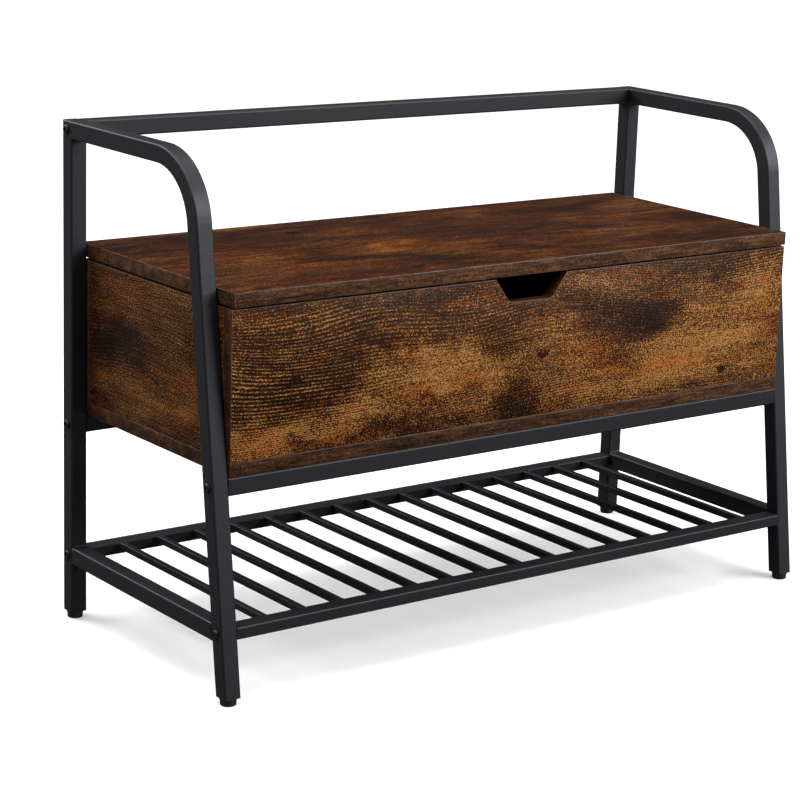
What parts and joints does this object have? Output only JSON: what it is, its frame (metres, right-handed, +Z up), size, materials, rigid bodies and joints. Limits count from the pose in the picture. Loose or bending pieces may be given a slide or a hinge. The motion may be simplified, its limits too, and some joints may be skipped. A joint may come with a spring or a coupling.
{
  "type": "entryway storage bench",
  "caption": "Entryway bench: black square-tube frame with bent arms and a back rail, a wood-look storage box with a flip-up seat lid, and a barred shoe shelf below.",
  "frame": {"origin": "on the floor, under the middle of the frame's width and depth", "axes": "+X to the right along the width, +Z up, and the front faces -Y"},
  "size_m": [0.8052, 0.334, 0.552],
  "materials": {
    "powder_coat": "matte charcoal-black powder coat with a fine texture",
    "black_bolts": "black oxide, satin",
    "zinc_steel": "zinc plated, satin",
    "rustic_board": "rustic saw-marked wood-look board, satin",
    "dowel_wood": "plain beech, unfinished",
    "foot_plastic": "moulded black plastic, matte",
    "bumper_rubber": "soft black rubber pad"
  },
  "bodies": {
    "frame": {"left_rear_leg": "powder_coat", "right_rear_leg": "powder_coat", "left_arm_and_front_leg": "powder_coat", "right_arm_and_front_leg": "powder_coat", "left_lower_side_rail": "powder_coat", "right_lower_side_rail": "powder_coat", "left_rear_foot": "foot_plastic", "right_rear_foot": "foot_plastic", "left_front_foot": "foot_plastic", "right_front_foot": "foot_plastic", "left_frame_bolts": "black_bolts", "right_frame_bolts": "black_bolts", "back_rail": "powder_coat", "box_front_rail": "powder_coat", "box_rear_rail": "powder_coat", "shelf_front_rail": "powder_coat", "shelf_rear_rail": "powder_coat", "tube_rail_nuts": "zinc_steel", "shelf_rail_nuts": "zinc_steel", "shelf_bar_01": "powder_coat", "shelf_bar_02": "powder_coat", "shelf_bar_03": "powder_coat", "shelf_bar_04": "powder_coat", "shelf_bar_05": "powder_coat", "shelf_bar_06": "powder_coat", "shelf_bar_07": "powder_coat", "shelf_bar_08": "powder_coat", "shelf_bar_09": "powder_coat", "shelf_bar_10": "powder_coat", "shelf_bar_11": "powder_coat", "shelf_bar_12": "powder_coat", "shelf_bar_13": "powder_coat", "shelf_bar_14": "powder_coat", "shelf_bar_15": "powder_coat", "front_panel": "rustic_board", "back_panel": "rustic_board", "base_board": "rustic_board", "left_panel": "rustic_board", "right_panel": "rustic_board", "panel_dowels": "dowel_wood", "cam_locks": "zinc_steel", "cam_pins": "zinc_steel", "box_screws": "zinc_steel", "base_screws": "zinc_steel", "lid_bumpers": "bumper_rubber", "left_hinge_box_leaf": "zinc_steel", "right_hinge_box_leaf": "zinc_steel", "left_hinge_pin": "zinc_steel", "right_hinge_pin": "zinc_steel", "box_leaf_screws": "zinc_steel"},
    "lid": {"lid_panel": "rustic_board", "left_hinge_lid_leaf": "zinc_steel", "right_hinge_lid_leaf": "zinc_steel", "lid_leaf_screws": "zinc_steel"}
  },
  "joints": [
    {"name": "lid_hinge", "type": "hinge", "parent": "frame", "child": "lid", "pos_m": [0, 0.1638, 0.4032], "axis": [-1, 0, 0], "range_deg": [0, 75]}
  ]
}
